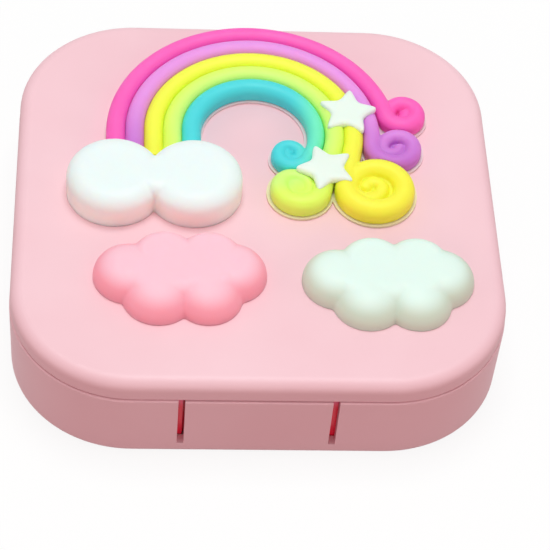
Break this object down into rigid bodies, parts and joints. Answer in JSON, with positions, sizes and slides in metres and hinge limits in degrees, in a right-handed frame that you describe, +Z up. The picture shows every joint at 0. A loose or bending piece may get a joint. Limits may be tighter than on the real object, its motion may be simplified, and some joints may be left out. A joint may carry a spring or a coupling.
{
  "type": "baby tooth box",
  "caption": "Shallow rounded-square keepsake box for milk teeth: hinged lid with a raised rainbow and clouds, press latch in the front wall, socketed tray inside.",
  "frame": {"origin": "middle of the base's underside, on the surface it stands on", "axes": "+Z up, -Y towards the front wall with the press latch, +X to the right seen from the front"},
  "size_m": [0.084, 0.084, 0.0243],
  "materials": {
    "pale_pink_case": "fine satin moulded ABS",
    "hot_pink_insert": "smooth moulded polypropylene",
    "steel_pin": "drawn wire",
    "milky_backing": "milky cast resin",
    "magenta_resin": "soft-gloss cast resin",
    "lilac_resin": "soft-gloss cast resin",
    "yellow_resin": "soft-gloss cast resin",
    "lime_resin": "soft-gloss cast resin",
    "cyan_resin": "soft-gloss cast resin",
    "white_resin": "soft-gloss cast resin",
    "pink_resin": "soft-gloss cast resin",
    "mint_resin": "soft-gloss cast resin"
  },
  "bodies": {
    "base": {"base_shell": "pale_pink_case", "tooth_tray": "hot_pink_insert", "hinge_pin": "steel_pin"},
    "latch": {"latch_tongue": "pale_pink_case"},
    "lid": {"lid_shell": "pale_pink_case", "lid_liner": "hot_pink_insert", "rainbow_backing": "milky_backing", "rainbow_band_pink": "magenta_resin", "rainbow_band_lilac": "lilac_resin", "rainbow_band_yellow": "yellow_resin", "rainbow_band_lime": "lime_resin", "rainbow_band_cyan": "cyan_resin", "rainbow_cloud": "white_resin", "upper_star": "white_resin", "lower_star": "white_resin", "pink_cloud": "pink_resin", "mint_cloud": "mint_resin"}
  },
  "joints": [
    {"name": "lid_hinge", "type": "hinge", "parent": "base", "child": "lid", "pos_m": [0, 0.0399, 0.0088], "axis": [-1, 0, 0], "range_deg": [0, 130]},
    {"name": "latch_press", "type": "hinge", "parent": "base", "child": "latch", "pos_m": [-0.00045, -0.0402, 0.0025], "axis": [-1, 0, 0], "range_deg": [0, 5], "stiffness_Nm_per_rad": 0.15}
  ]
}
